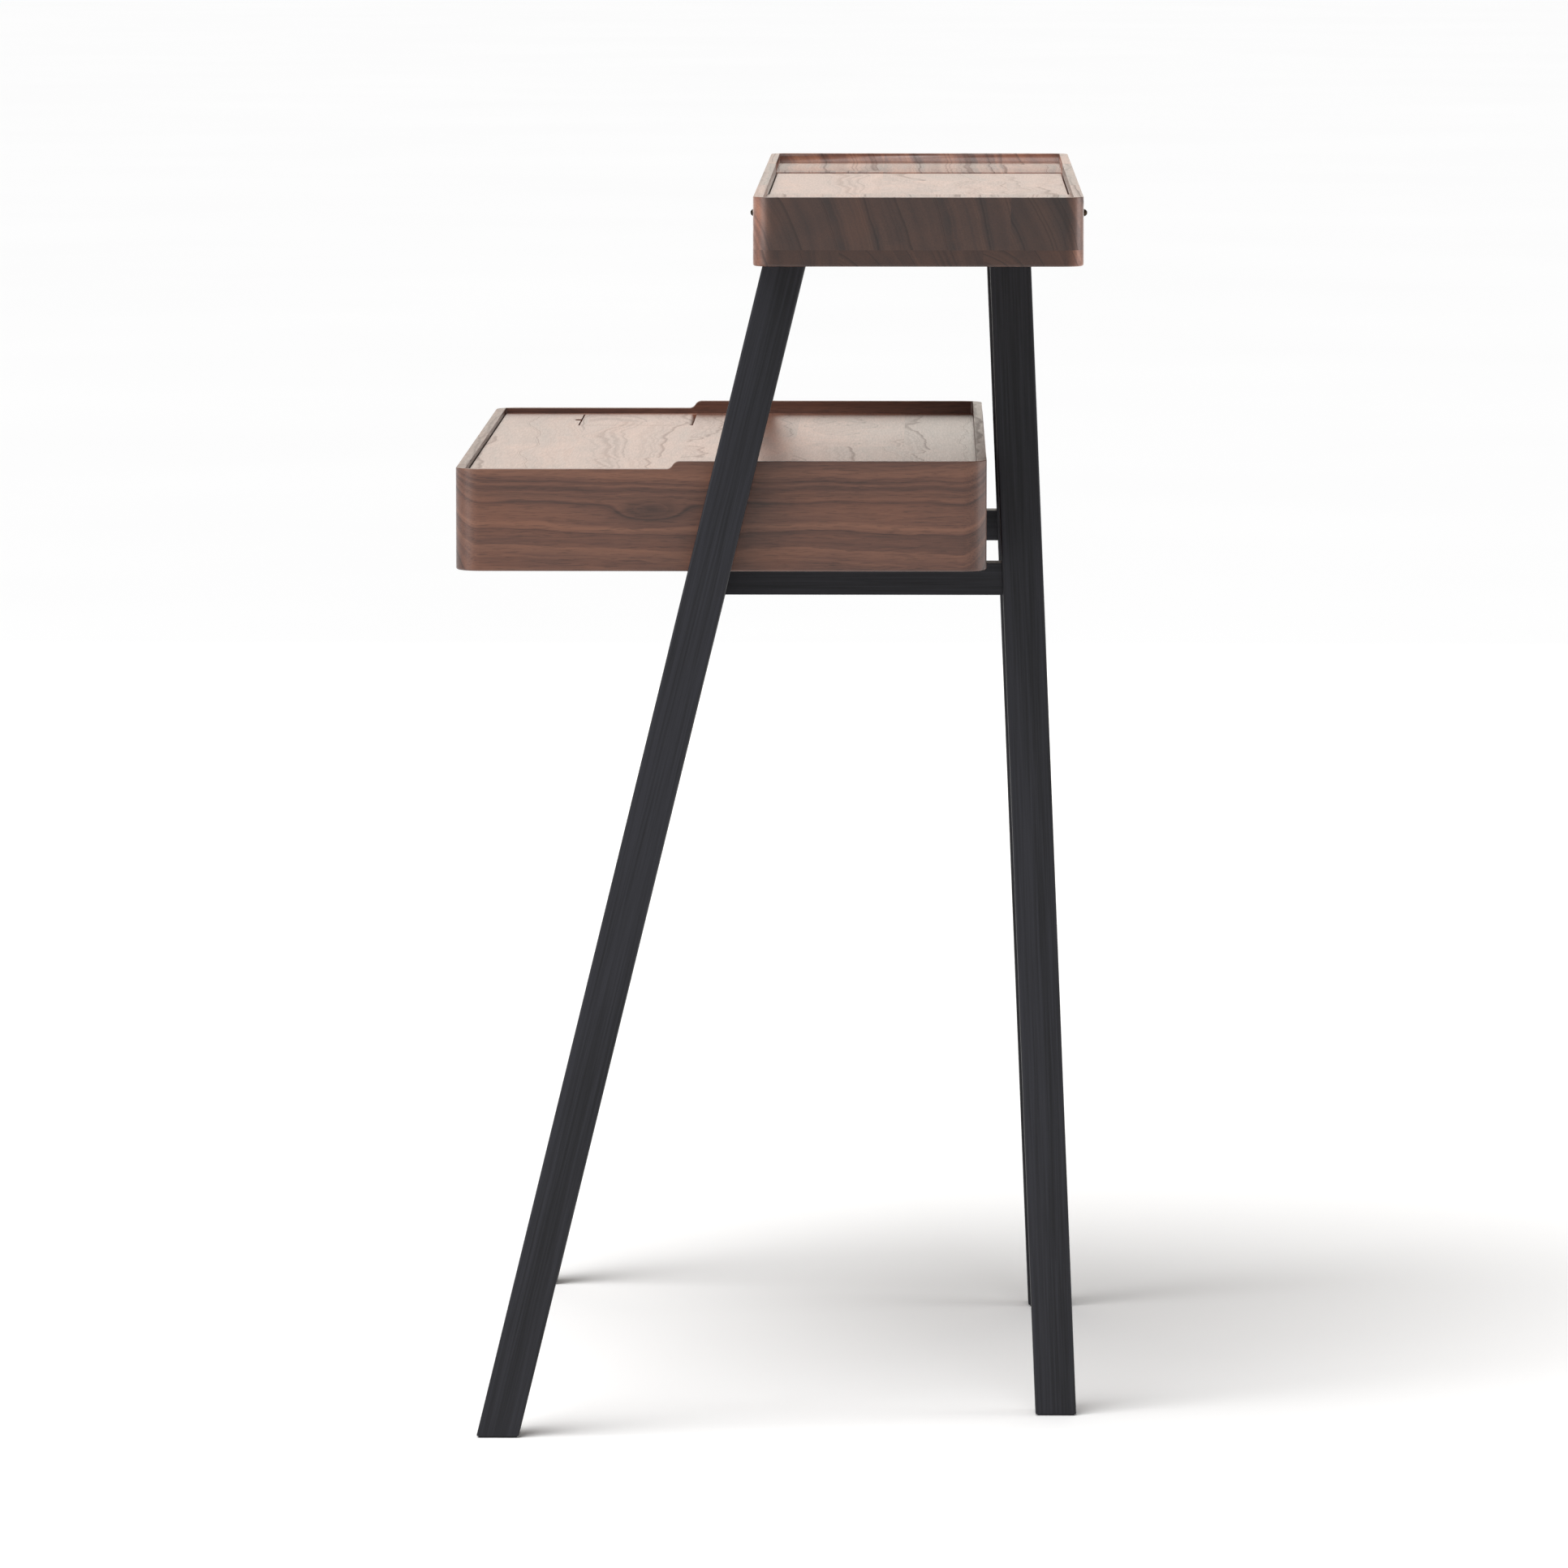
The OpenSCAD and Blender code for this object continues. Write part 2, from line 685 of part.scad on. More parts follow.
front_leg_right();
front_leg_left();
rear_leg_right();
rear_leg_left();
front_cross_rail();
rear_cross_rail();
side_rail_right();
side_rail_left();
foot_glides();
shelf_dowels();
leg_bolts();
rail_screws();
desk_side_right();
desk_side_left();
desk_back_board();
desk_bottom_board();
writing_board();
pen_well_frame();
pen_well_floor();
pen_lid();
pen_lid_pins();
desk_runner_right();
desk_runner_left();
desk_drawer_stop();
desk_drawer_front();
desk_drawer_side_right();
desk_drawer_side_left();
desk_drawer_back();
desk_drawer_bottom();
desk_drawer_dowels();
shelf_base_board();
shelf_end_right();
shelf_end_left();
shelf_center_panel();
shelf_guide_right();
shelf_guide_left();
shelf_divider();
shelf_drawer_stops();
near_drawer_front();
near_drawer_side_right();
near_drawer_side_left();
near_drawer_back();
near_drawer_bottom();
near_drawer_dowels();
near_knob();
far_drawer_front();
far_drawer_side_right();
far_drawer_side_left();
far_drawer_back();
far_drawer_bottom();
far_drawer_dowels();
far_knob();
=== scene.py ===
import json
import math
from functools import partial

import bmesh
import bpy
from bpy.props import FloatProperty, FloatVectorProperty, PointerProperty
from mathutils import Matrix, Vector


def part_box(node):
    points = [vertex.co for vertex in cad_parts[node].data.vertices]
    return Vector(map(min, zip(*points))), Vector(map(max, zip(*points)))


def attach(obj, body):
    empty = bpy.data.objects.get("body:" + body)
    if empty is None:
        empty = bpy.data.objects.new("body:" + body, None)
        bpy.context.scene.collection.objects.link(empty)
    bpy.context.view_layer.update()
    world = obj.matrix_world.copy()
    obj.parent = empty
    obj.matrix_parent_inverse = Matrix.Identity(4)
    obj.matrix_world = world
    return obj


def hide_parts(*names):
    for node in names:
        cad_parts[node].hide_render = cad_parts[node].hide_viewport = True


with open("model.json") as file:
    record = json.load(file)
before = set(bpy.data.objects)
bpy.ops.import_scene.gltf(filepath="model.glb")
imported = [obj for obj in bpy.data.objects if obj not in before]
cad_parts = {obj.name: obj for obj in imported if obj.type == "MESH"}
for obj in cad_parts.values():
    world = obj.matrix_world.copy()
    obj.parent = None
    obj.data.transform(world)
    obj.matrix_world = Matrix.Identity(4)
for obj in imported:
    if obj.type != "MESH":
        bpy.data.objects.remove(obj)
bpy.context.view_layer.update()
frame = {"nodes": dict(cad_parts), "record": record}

bl_info = {
    "name": "Two-Level Writing Desk",
    "version": (1, 0, 0),
    "blender": (4, 5, 0),
    "location": "3D View > Sidebar > Desk",
    "description": "Finishes a small walnut writing desk with drawers and a lidded pen well",
    "category": "Object",
}

BODIES = frame["record"]["behaviour"]["bodies"]
BODY_OF = {node: body for body, nodes in BODIES.items() for node in nodes}
SLOT_OF = {part["node"]: part["material_slot"] for part in frame["record"]["subparts"]}
MM = 0.001

# Which edges of the boards count as sharp, and how the triangles merge into true faces
SHARP_TO_ROUND = math.radians(32)
SHARP_TO_SHADE = math.radians(50)
FLAT = math.radians(0.5)
SAME_POINT = 0.01 * MM
WIDE_ROUNDING = 1 * MM
# The lengthwise edges of a leg or a rail are longer than this, and its foot ends below this
LONG = 250 * MM
FOOT_TOP = 5 * MM
# The upright corners of the boxes are round, so their edges lie this far inside the outline
CORNER_REACH = 6.5 * MM
# Half the length and half the height of a knot, and how far it pushes the rings out
KNOT_SIZE = (28 * MM, 9 * MM)
KNOT_SWELL = 11 * MM
# Places of the factor, the two colours and the result on a Mix node that mixes colours, and
# its settings for laying one colour over the other or darkening one by the other
FACTOR, COLOUR_A, COLOUR_B, MIXED = 0, 6, 7, 2
LAY_OVER = {"data_type": "RGBA", "blend_type": "MIX"}
DARKEN_BY = {"data_type": "RGBA", "blend_type": "MULTIPLY"}

# The stage, in metres: the floor, the lamps and the camera
FLOOR_RADIUS = 80
LIT_PLACE = Vector((0, 0, 0.7))
SUN_OFFSET = Vector((0.45, -0.4, 1)) * 5
SUN_WIDTH = math.radians(54)
SIDE_PANELS = (("front_panel", Vector((1.6, -2.5, 1.3)), 1.3),
               ("rear_panel", Vector((0, 2.9, 1.3)), 1.2))
SIDE_PANEL_SIZE = 1.5
BACK_PANEL_PLACE = Vector((-6, 0, 2.2))
BACK_PANEL_SIZE = (7, 3.4)
CAMERA_PLACE = Vector((7.728, 0.1176, 1.274))
CAMERA_AIM = Vector((0, 0.0019, 0.469))
CAMERA_REACH = 300


def srgb(hex_colour):
    """A colour such as #6d4a3c as linear red, green and blue."""
    parts = [int(hex_colour[i:i + 2], 16) / 255 for i in (1, 3, 5)]
    return tuple(c / 12.92 if c <= 0.04045 else ((c + 0.055) / 1.055) ** 2.4 for c in parts)


def colour(name, description, hex_colour):
    """A colour property with a default written as a hex value."""
    return FloatVectorProperty(name=name, description=description, subtype="COLOR",
                               size=3, min=0, max=1, default=srgb(hex_colour))


def length(name, description, millimetres):
    """A length property with its default in millimetres."""
    return FloatProperty(name=name, description=description, unit="LENGTH", min=0,
                         default=millimetres * MM)


def angle(name, description, degrees):
    """An angle property with its default in degrees."""
    return FloatProperty(name=name, description=description, subtype="ANGLE",
                         default=math.radians(degrees))


# ---- Settings ----


class DeskWoods(bpy.types.PropertyGroup):
    """Colours of the woods and metals."""
    walnut_pale: colour("Walnut, pale", "Early wood between the dark bands", "#95654f")
    walnut_mid: colour("Walnut, middle", "Most of the heartwood", "#744c3d")
    walnut_dark: colour("Walnut, dark", "Late wood and mineral streaks", "#3f2b24")
    walnut_red: colour("Walnut, red", "Warmer patches in the heartwood", "#94583a")
    stain: colour("Black stain", "Stain on the legs and the rails", "#26262c")
    stain_grain: colour("Stained grain", "Grain that shows through the stain", "#151519")
    maple: colour("Maple", "Drawer boxes, runners and guides", "#d9bd97")
    beech: colour("Beech", "Dowels", "#cfa780")
    knob: colour("Knob", "Blackened head of a knob", "#1f1c1b")
    knob_worn: colour("Worn knob", "Where the black has worn off a knob", "#5a4935")


class DeskSizes(bpy.types.PropertyGroup):
    """Roundings and grain sizes."""
    base_round: length("Lower edges", "Rounding of the boxes' lower outer edges", 1.6)
    rim_round: length("Rim edges", "Rounding of the rims' top edges", 0.6)
    seam_round: length("Seam edges", "Easing of edges at seams and on drawer parts", 0.35)
    lid_round: length("Lid edges", "Easing of the edges of the lid and the writing board", 0.15)
    leg_round: length("Leg edges", "Rounding of the legs and the rails", 1.8)
    foot_round: length("Foot edges", "Rounding of the edges of the feet", 1.2)
    pad_round: length("Pad edges", "Rounding of the edges of the felt pads", 0.3)
    metal_round: length("Metal edges", "Easing of the edges of knobs, pins, bolts and screws", 0.15)
    front_lean: angle("Front lean", "Lean of the front legs' grain, back from upright", 13.75)
    rear_lean: angle("Rear lean", "Lean of the back legs' grain, forward from upright", 2.4)
    ring: length("Growth rings", "Usual width of a growth ring", 4.5)
    strip_length: length("Strip length", "Length of the strips glued into a top", 430)


class DeskStage(bpy.types.PropertyGroup):
    """Floor, light and camera."""
    floor: colour("Floor", "Pale studio floor", "#fdfdfd")
    sky: FloatProperty(name="Surround", description="Brightness of the white surround",
                       default=0.25, min=0)
    sun: FloatProperty(name="Overhead light", description="Strength of the broad light above",
                       default=2.95, min=0)
    sides: FloatProperty(name="Side lights", description="Power of the soft panels at both sides",
                         default=13, min=0, unit="POWER")
    back: FloatProperty(name="Back light", min=0, unit="POWER", default=87,
                        description="Power of the panel behind, which glazes the tops")
    back_tint: colour("Back light tint", "Slight warmth of the panel behind", "#fff6ea")
    lens: FloatProperty(name="Lens", description="Focal length of the camera",
                        default=219.9, min=10, unit="CAMERA")


# ---- Materials ----


def add_node(tree, kind, sockets=(), out=0, stops=None, **settings):
    """Adds one shader node and gives the output called out, or the node itself where out is None.
    sockets holds a value or another node's output for each input, by place or by name, settings
    are the node's own properties, and stops are a colour ramp's places and colours."""
    made = tree.nodes.new("ShaderNode" + kind)
    for name, value in settings.items():
        setattr(made, name, value)
    for key, value in sockets.items() if hasattr(sockets, "items") else enumerate(sockets):
        if isinstance(value, bpy.types.NodeSocket):
            tree.links.new(value, made.inputs[key])
        else:
            made.inputs[key].default_value = value
    for count, (place, tone) in enumerate(stops or ()):
        marks = made.color_ramp.elements
        mark = marks[count] if count < len(marks) else marks.new(place)
        mark.position = place
        mark.color = (*tone, 1) if hasattr(tone, "__len__") else (tone, tone, tone, 1)
    return made if out is None else made.outputs[out]


def new_material(name, **finish):
    """A material with a shader of the given finish, and the function that adds nodes to it."""
    skin = bpy.data.materials.new(name)
    skin.use_nodes = True
    skin.node_tree.nodes.clear()
    add = partial(add_node, skin.node_tree)
    sockets = {key.replace("_", " "): value for key, value in finish.items()}
    shader = add("BsdfPrincipled", sockets, None)
    add("OutputMaterial", [shader.outputs["BSDF"]], None)
    return skin, add, shader


def join(skin, shader, **sources):
    """Leads colours, roughness and bumps into a shader."""
    for name, source in sources.items():
        skin.node_tree.links.new(source, shader.inputs[name.replace("_", " ")])
    return skin


def feature(along, across):
    """Noise scale for features of this length along the grain and width across it, in
    millimetres."""
    return (1 / (along * MM), 1 / (across * MM), 1 / (across * MM))


def board_space(add, grain, lean=0):
    """Object coordinates in the order along the grain, across it, and the third way, after a
    board that leans back is turned upright."""
    spot = add("TexCoord", out="Object")
    if lean:
        spot = add("VectorRotate", {"Vector": spot, "Angle": lean}, rotation_type="X_AXIS")
    axes = add("SeparateXYZ", [spot], None)
    order = {"X": "XYZ", "Y": "YXZ", "Z": "ZXY"}[grain]
    return add("CombineXYZ", [axes.outputs[axis] for axis in order])


def walnut(name, grain, heart_across, heart_up, seed, wander=9, curl=0.4, shade=0.6, red=0.25,
           lines=0.5, stave=0, strip_from=0, knot=None, ends=None, contrast=0.75, coat=0.25):
    """Black walnut, planed, sanded and finished with satin lacquer. Dark brown heartwood with soft
    bands, a few thin dark ring lines that make long flames on the faces and arcs on end grain,
    short dark pores along the grain, and a sheen that turns pale when seen along the surface.
    Lengths are in millimetres: where the heart of the tree lies across and above, which differs
    from strip to strip, how far the rings wander and curl, the width of the glued strips and where
    they start, a knot's place along and above, and how far along the grain the end faces lie.
    The shares say how bright, how red, how finely lined, how varied and how glossy the wood is."""
    woods, sizes = bpy.context.scene.desk_woods, bpy.context.scene.desk_sizes
    skin, add, shader = new_material(name, IOR=1.5, Coat_Roughness=0.3, Coat_IOR=1.5)
    spot = board_space(add, grain)
    own = add("VectorMath", [spot, (seed * 1.37, seed * 0.73, seed * 0.41)], operation="ADD")
    axes = add("SeparateXYZ", [spot], None)
    across, up = axes.outputs["Y"], axes.outputs["Z"]
    if stave:
        # Each strip, and each shorter length in it, comes from its own place in a tree
        strip = add("Math", [add("Math", [across, -strip_from * MM], operation="ADD"), stave * MM],
                    operation="DIVIDE")
        row = add("Math", [strip], operation="FLOOR")
        start = add("TexWhiteNoise", {"W": row}, "Value", noise_dimensions="1D")
        span = add("Math", [axes.outputs["X"], 1 / sizes.strip_length, start],
                   operation="MULTIPLY_ADD")
        cell = add("Math", [add("Math", [span], operation="FLOOR"), 0.37, row],
                   operation="MULTIPLY_ADD")
        cell = add("Math", [cell, seed * 3.1], operation="ADD")
        luck = add("TexWhiteNoise", {"W": cell}, "Color", noise_dimensions="1D")
        strip_tone = add("TexWhiteNoise", {"W": cell}, "Value", noise_dimensions="1D")
        own = add("VectorMath", [luck, (2, 2, 2), own], operation="MULTIPLY_ADD")
        picks = add("SeparateXYZ", [luck], None)
        across = add("Math", [add("Math", [strip], operation="FRACT"), stave * MM],
                     operation="MULTIPLY")
        across = add("Math", [picks.outputs[0], (heart_across[0] - heart_across[1]) * MM, across],
                     operation="MULTIPLY_ADD")
        up = add("Math", [picks.outputs[1], (heart_up[0] - heart_up[1]) * MM, up],
                 operation="MULTIPLY_ADD")
    across = add("Math", [across, -heart_across[0] * MM], operation="ADD")
    up = add("Math", [up, -heart_up[0] * MM], operation="ADD")
    heart = add("CombineXYZ", {"Y": across, "Z": up})
    radius = add("VectorMath", [heart], "Value", operation="LENGTH")
    wave = wander * 0.35
    if stave:
        # Some strips are plain and some are curly
        wave = add("MapRange", [picks.outputs[2], 0.4, 1, wave * 0.3, wave * 1.6])
    for size, scale in ((wander, feature(330, 125)), (wave, feature(62, 38)),
                        (curl, feature(17, 13))):
        place = add("VectorMath", [own, scale], operation="MULTIPLY")
        drift = add("TexNoise", {"Vector": place, "Scale": 1, "Detail": 2})
        drift = add("Math", [drift, 2 * MM], operation="MULTIPLY")
        radius = add("Math", [drift, size, radius], operation="MULTIPLY_ADD")
    if knot:
        # The rings swell round a knot, and the wood darkens there
        centre = (knot[0] * MM, 0, knot[1] * MM)
        reach = add("VectorMath", [spot, centre], operation="SUBTRACT")
        reach = add("VectorMath", [reach, (1 / KNOT_SIZE[0], 0, 1 / KNOT_SIZE[1])],
                    operation="MULTIPLY")
        reach = add("VectorMath", [reach], "Value", operation="LENGTH")
        swell = add("MapRange", [reach, 0, 1.6, 1, 0], interpolation_type="SMOOTHERSTEP")
        radius = add("Math", [swell, KNOT_SWELL, radius], operation="MULTIPLY_ADD")
    ring = add("Math", [radius, 1 / sizes.ring], operation="MULTIPLY")
    uneven = add("TexNoise", {"W": ring, "Scale": 0.31, "Detail": 2}, noise_dimensions="1D")
    ring = add("Math", [uneven, 5, ring], operation="MULTIPLY_ADD")
    year = add("TexWhiteNoise", {"W": add("Math", [ring], operation="FLOOR")}, "Value",
               noise_dimensions="1D")
    late = add("ValToRGB", [add("Math", [ring], operation="FRACT")],
               stops=((0, 0.25), (0.35, 0.0), (0.6, 0.1), (0.88, 1.0), (0.97, 0.9), (1.0, 0.25)))
    late = add("Math", [late, add("Math", [year, 1.6], operation="POWER")], operation="MULTIPLY")
    broad = add("TexNoise", {"W": ring, "Scale": 0.28, "Detail": 3, "Roughness": 0.6},
                noise_dimensions="1D")
    # Fibres and pores are drawn about twice their real width, so that they show
    place = add("VectorMath", [own, feature(22, 1.25)], operation="MULTIPLY")
    fibre = add("TexNoise", {"Vector": place, "Scale": 1, "Detail": 3, "Roughness": 0.6})
    place = add("VectorMath", [own, feature(11, 0.7)], operation="MULTIPLY")
    pores = add("TexNoise", {"Vector": place, "Scale": 1, "Detail": 1})
    place = add("VectorMath", [own, feature(143, 33)], operation="MULTIPLY")
    patch = add("TexNoise", {"Vector": place, "Scale": 1, "Detail": 3})
    dark, mid, pale, warm = (tuple(c * shade for c in tint) for tint in (
        woods.walnut_dark, woods.walnut_mid, woods.walnut_pale, woods.walnut_red))
    mixed = add("Math", [fibre, 0.2, add("Math", [patch, 0.25], operation="MULTIPLY")],
                operation="MULTIPLY_ADD")
    mixed = add("Math", [broad, contrast, mixed], operation="MULTIPLY_ADD")
    middle = (0.45 + contrast) / 2
    base = add("ValToRGB", [mixed], stops=((middle - 0.2, dark), (middle - 0.02, mid),
                                           (middle + 0.15, pale)))
    warmth = add("MapRange", [patch, 0.5, 0.72, 0, red])
    base = add("Mix", {FACTOR: warmth, COLOUR_A: base, COLOUR_B: (*warm, 1)}, MIXED, **LAY_OVER)
    line = add("Math", [late, lines], operation="MULTIPLY")
    base = add("Mix", {FACTOR: line, COLOUR_A: base, COLOUR_B: (*dark, 1)}, MIXED, **LAY_OVER)
    if knot:
        stain = add("Math", [add("Math", [patch, 1.3], operation="MULTIPLY"), swell],
                    operation="MULTIPLY")
        base = add("Mix", {FACTOR: stain, COLOUR_A: base, COLOUR_B: (*dark, 1)}, MIXED, **LAY_OVER)
    if stave:
        level = add("MapRange", [strip_tone, 0, 1, 0.85, 1.15])
        base = add("Mix", {FACTOR: 1.0, COLOUR_A: base, COLOUR_B: level}, MIXED, **DARKEN_BY)
    if ends:
        # End grain soaks up the lacquer and turns much darker
        along = add("Math", [axes.outputs["X"]], operation="ABSOLUTE")
        soaked = add("MapRange", [along, (ends - 5) * MM, (ends - 0.1) * MM, 1, 0.18])
        base = add("Mix", {FACTOR: 1.0, COLOUR_A: base, COLOUR_B: soaked}, MIXED, **DARKEN_BY)
    open_pore = add("ValToRGB", [pores], stops=((0.34, 0.6), (0.43, 1.0)))
    base = add("Mix", {FACTOR: 0.7, COLOUR_A: base, COLOUR_B: open_pore}, MIXED, **DARKEN_BY)
    rough = add("Math", [line, 0.25, add("MapRange", [fibre, 0.3, 0.7, 0.43, 0.33])],
                operation="MULTIPLY_ADD")
    lacquer = add("MapRange", [line, 0, 1, coat, coat * 0.2])
    relief = add("Math", [open_pore, 0.5, fibre], operation="MULTIPLY_ADD")
    bump = add("Bump", {"Height": relief, "Strength": 0.2, "Distance": 0.1 * MM})
    return join(skin, shader, Base_Color=base, Roughness=rough, Coat_Weight=lacquer, Normal=bump)


def stained_oak(name, grain, seed, lean=0):
    """Oak stained black and lacquered satin: nearly black, with fine long pores a little darker
    and a dull sheen that draws pale lines along the rounded edges. The grain of a leaning leg
    leans with it."""
    woods = bpy.context.scene.desk_woods
    skin, add, shader = new_material(name, IOR=1.5, Specular_IOR_Level=0.3)
    spot = board_space(add, grain, lean)
    own = add("VectorMath", [spot, (seed * 0.61, seed * 0.37, seed * 0.19)], operation="ADD")
    place = add("VectorMath", [own, feature(100, 1.7)], operation="MULTIPLY")
    fibre = add("TexNoise", {"Vector": place, "Scale": 1, "Detail": 3, "Roughness": 0.6})
    place = add("VectorMath", [own, feature(500, 17)], operation="MULTIPLY")
    cloud = add("TexNoise", {"Vector": place, "Scale": 1, "Detail": 2})
    mixed = add("Math", [fibre, 0.6, add("Math", [cloud, 0.4], operation="MULTIPLY")],
                operation="MULTIPLY_ADD")
    base = add("ValToRGB", [mixed], stops=((0.38, woods.stain_grain), (0.62, woods.stain)))
    rough = add("MapRange", [mixed, 0.35, 0.65, 0.52, 0.4])
    bump = add("Bump", {"Height": fibre, "Strength": 0.25, "Distance": 0.1 * MM})
    return join(skin, shader, Base_Color=base, Roughness=rough, Normal=bump)


def pale_wood(name, grain, seed, tint):
    """Hard maple or beech, planed and oiled clear: pale and even, with faint fine lines and
    short flecks."""
    skin, add, shader = new_material(name, IOR=1.5)
    spot = board_space(add, grain)
    own = add("VectorMath", [spot, (seed * 0.53, seed * 0.29, seed * 0.17)], operation="ADD")
    place = add("VectorMath", [own, feature(200, 7)], operation="MULTIPLY")
    line = add("TexNoise", {"Vector": place, "Scale": 1, "Detail": 3, "Roughness": 0.6})
    place = add("VectorMath", [own, feature(6, 0.9)], operation="MULTIPLY")
    fleck = add("TexNoise", {"Vector": place, "Scale": 1, "Detail": 1})
    base = add("ValToRGB", [line], stops=((0.35, tuple(c * 0.8 for c in tint)), (0.65, tint)))
    dark = add("ValToRGB", [fleck], stops=((0.3, 0.8), (0.42, 1.0)))
    base = add("Mix", {FACTOR: 0.6, COLOUR_A: base, COLOUR_B: dark}, MIXED, **DARKEN_BY)
    rough = add("MapRange", [line, 0.3, 0.7, 0.52, 0.42])
    bump = add("Bump", {"Height": line, "Strength": 0.15, "Distance": 0.1 * MM})
    return join(skin, shader, Base_Color=base, Roughness=rough, Normal=bump)


def knob_brass(name):
    """Turned brass: the round head is blackened and waxed, with worn patches about 1.4 mm wide,
    and the slim neck is left bright."""
    woods = bpy.context.scene.desk_woods
    skin, add, shader = new_material(name, Metallic=1.0)
    coords = add("TexCoord", out="Object")
    low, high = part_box("near_knob")[0].y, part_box("far_knob")[1].y
    away = add("Math", [add("SeparateXYZ", [coords], "Y"), -(low + high) / 2], operation="ADD")
    away = add("Math", [away], operation="ABSOLUTE")
    # A knob's round head reaches 5.4 mm in from its end, and its neck starts 0.6 mm behind it
    end = (high - low) / 2
    head = add("MapRange", [away, end - 6.0 * MM, end - 5.4 * MM])
    worn = add("TexNoise", {"Vector": coords, "Scale": 0.7 / MM, "Detail": 3})
    black = add("ValToRGB", [worn], stops=((0.35, woods.knob), (0.8, woods.knob_worn)))
    bright = add("ValToRGB", [worn], stops=((0.3, srgb("#8f7748")), (0.7, srgb("#c2a873"))))
    base = add("Mix", {FACTOR: head, COLOUR_A: bright, COLOUR_B: black}, MIXED, **LAY_OVER)
    rough = add("MapRange", [worn, 0.3, 0.7, 0.4, 0.25])
    return join(skin, shader, Base_Color=base, Roughness=rough)


def drawn_metal(name, dull, bright, along=7):
    """Drawn brass rod or zinc-plated steel wire: metal with fine lines along it and a faint
    cloudiness."""
    skin, add, shader = new_material(name, Metallic=1.0)
    coords = add("TexCoord", out="Object")
    place = add("VectorMath", [coords, feature(along, 0.4)], operation="MULTIPLY")
    lines = add("TexNoise", {"Vector": place, "Scale": 1, "Detail": 2})
    base = add("ValToRGB", [lines], stops=((0.3, srgb(dull)), (0.7, srgb(bright))))
    rough = add("MapRange", [lines, 0.3, 0.7, 0.42, 0.26])
    return join(skin, shader, Base_Color=base, Roughness=rough)


def pressed_felt(name):
    """Pressed wool felt, dyed black: tufts of fibres 0.4 mm wide in every direction, no gloss."""
    skin, add, shader = new_material(name, Roughness=0.95)
    coords = add("TexCoord", out="Object")
    fluff = add("TexNoise", {"Vector": coords, "Scale": 1 / (0.4 * MM), "Detail": 4,
                             "Roughness": 0.7})
    base = add("ValToRGB", [fluff], stops=((0.3, srgb("#1c1c1e")), (0.7, srgb("#38383b"))))
    bump = add("Bump", {"Height": fluff, "Strength": 0.6, "Distance": 0.3 * MM})
    return join(skin, shader, Base_Color=base, Normal=bump)


def studio_floor(name):
    """Matt painted studio floor: nearly white, with a faint unevenness over 1.4 m."""
    stage = bpy.context.scene.desk_stage
    skin, add, shader = new_material(name, Roughness=0.8, Specular_IOR_Level=0.2)
    cloud = add("TexNoise", {"Vector": add("TexCoord", out="Object"), "Scale": 0.7, "Detail": 2})
    pale = tuple(stage.floor)
    base = add("ValToRGB", [cloud], stops=((0.2, tuple(c * 0.98 for c in pale)), (0.8, pale)))
    return join(skin, shader, Base_Color=base)


# ---- Pieces ----


def outline(*nodes):
    """Lowest and highest corners of several CAD nodes together."""
    boxes = [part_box(n) for n in nodes]
    return (Vector(min(box[0][i] for box in boxes) for i in range(3)),
            Vector(max(box[1][i] for box in boxes) for i in range(3)))


def every_edge(edge):
    """The test that all edges pass."""
    return True


def long_edges(edge):
    """The lengthwise edges of a leg or a rail."""
    return edge.calc_length() > LONG


def edges_below(height):
    """A test for edges that lie below a height."""
    return lambda edge: max(v.co.z for v in edge.verts) < height


def edges_above(height):
    """A test for edges that lie above a height."""
    return lambda edge: min(v.co.z for v in edge.verts) > height


def outer_base_edges(corners):
    """A test for the lower edges on the outside of a box."""
    low, high = corners
    is_low = edges_below(low.z + 0.5 * MM)

    def test(edge):
        middle = (edge.verts[0].co + edge.verts[1].co) / 2
        inside = min(middle.x - low.x, high.x - middle.x, middle.y - low.y, high.y - middle.y)
        return inside < CORNER_REACH and is_low(edge)
    return test


def finished(name, nodes, skin, *roundings):
    """A worked copy of one or more CAD nodes, which takes their place: the triangles are merged
    into true faces, and each of the roundings, a test and a width, is cut on the sharp edges
    that pass its test."""
    mesh = bmesh.new()
    for n in nodes:
        mesh.from_mesh(frame["nodes"][n].data)
    bmesh.ops.remove_doubles(mesh, verts=mesh.verts, dist=SAME_POINT)
    bmesh.ops.dissolve_limit(mesh, angle_limit=FLAT, verts=mesh.verts,
                             edges=mesh.edges, use_dissolve_boundaries=False)
    for test, width in roundings:
        sharp = [e for e in mesh.edges if len(e.link_faces) == 2
                 and abs(e.calc_face_angle(0)) > SHARP_TO_ROUND and test(e)]
        bmesh.ops.bevel(mesh, geom=sharp, offset=width, offset_type="OFFSET", affect="EDGES",
                        segments=4 if width > WIDE_ROUNDING else 3, profile=0.5, material=-1,
                        clamp_overlap=True)
    for face in mesh.faces:
        face.smooth = True
    data = bpy.data.meshes.new(name)
    mesh.to_mesh(data)
    mesh.free()
    data.set_sharp_from_angle(angle=SHARP_TO_SHADE)
    piece = bpy.data.objects.new(name, data)
    bpy.context.scene.collection.objects.link(piece)
    data.materials.append(skin)
    weighted = piece.modifiers.new("Weighted normals", "WEIGHTED_NORMAL")
    weighted.keep_sharp = True
    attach(piece, BODY_OF[nodes[0]])
    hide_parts(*nodes)
    return piece


